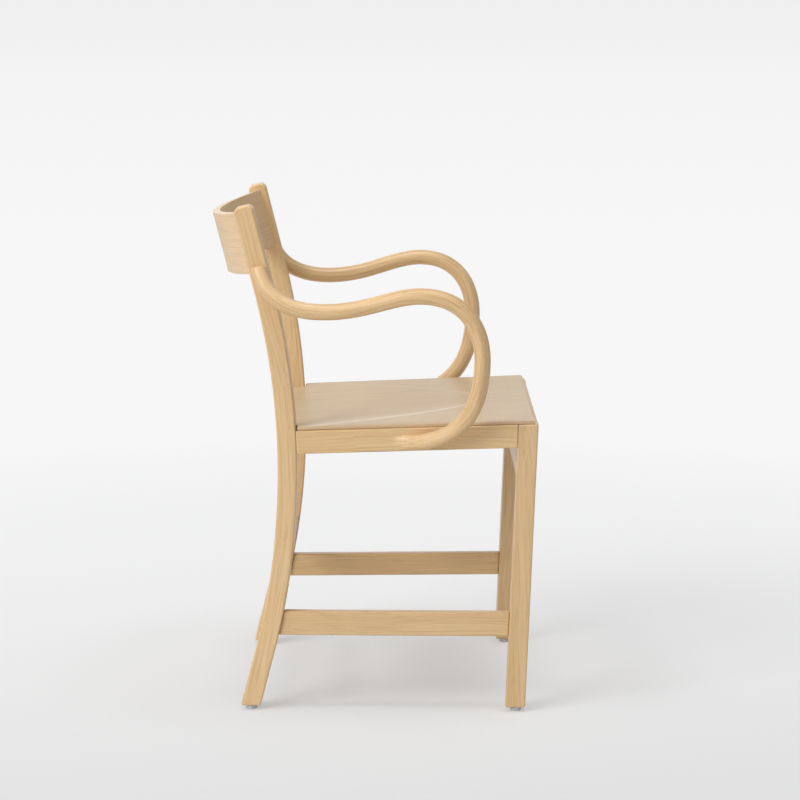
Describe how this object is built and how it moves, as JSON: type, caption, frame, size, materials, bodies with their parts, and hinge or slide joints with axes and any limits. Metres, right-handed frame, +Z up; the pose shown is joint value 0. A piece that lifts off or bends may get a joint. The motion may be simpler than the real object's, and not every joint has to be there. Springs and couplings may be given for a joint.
{
  "type": "wooden armchair",
  "caption": "Dining armchair in pale oak with bent back posts, a curved backrest panel, a dished seat panel and bent round armrests that loop down to the side rails.",
  "frame": {"origin": "on the floor, under the middle of the chair's outer box", "axes": "+Z up; the sitter looks along -Y and has +X on the left hand"},
  "size_m": [0.5748, 0.5128, 0.792],
  "materials": {
    "frame_oak": "satin clear lacquer",
    "seat_oak": "satin clear lacquer",
    "backrest_oak": "satin clear lacquer",
    "arm_oak": "satin clear lacquer",
    "block_wood": "sawn",
    "dowel_wood": "plain",
    "steel": "zinc plated",
    "glide_plastic": "matt"
  },
  "bodies": {
    "root": {"back_post_left": "frame_oak", "back_post_right": "frame_oak", "front_leg_left": "frame_oak", "front_leg_right": "frame_oak", "side_rail_left": "frame_oak", "side_rail_right": "frame_oak", "front_rail": "frame_oak", "back_rail": "frame_oak", "side_stretcher_left": "frame_oak", "side_stretcher_right": "frame_oak", "back_stretcher": "frame_oak", "seat_panel": "seat_oak", "backrest_panel": "backrest_oak", "armrest_left": "arm_oak", "armrest_right": "arm_oak", "corner_block_front_left": "block_wood", "corner_block_front_right": "block_wood", "corner_block_back_left": "block_wood", "corner_block_back_right": "block_wood", "glide_front_left": "glide_plastic", "glide_front_right": "glide_plastic", "glide_back_left": "glide_plastic", "glide_back_right": "glide_plastic", "glide_nails": "steel", "side_rail_dowels": "dowel_wood", "front_rail_dowels": "dowel_wood", "back_rail_dowels": "dowel_wood", "stretcher_dowels": "dowel_wood", "arm_dowels": "dowel_wood", "block_screws": "steel", "seat_screws": "steel"}
  },
  "joints": []
}
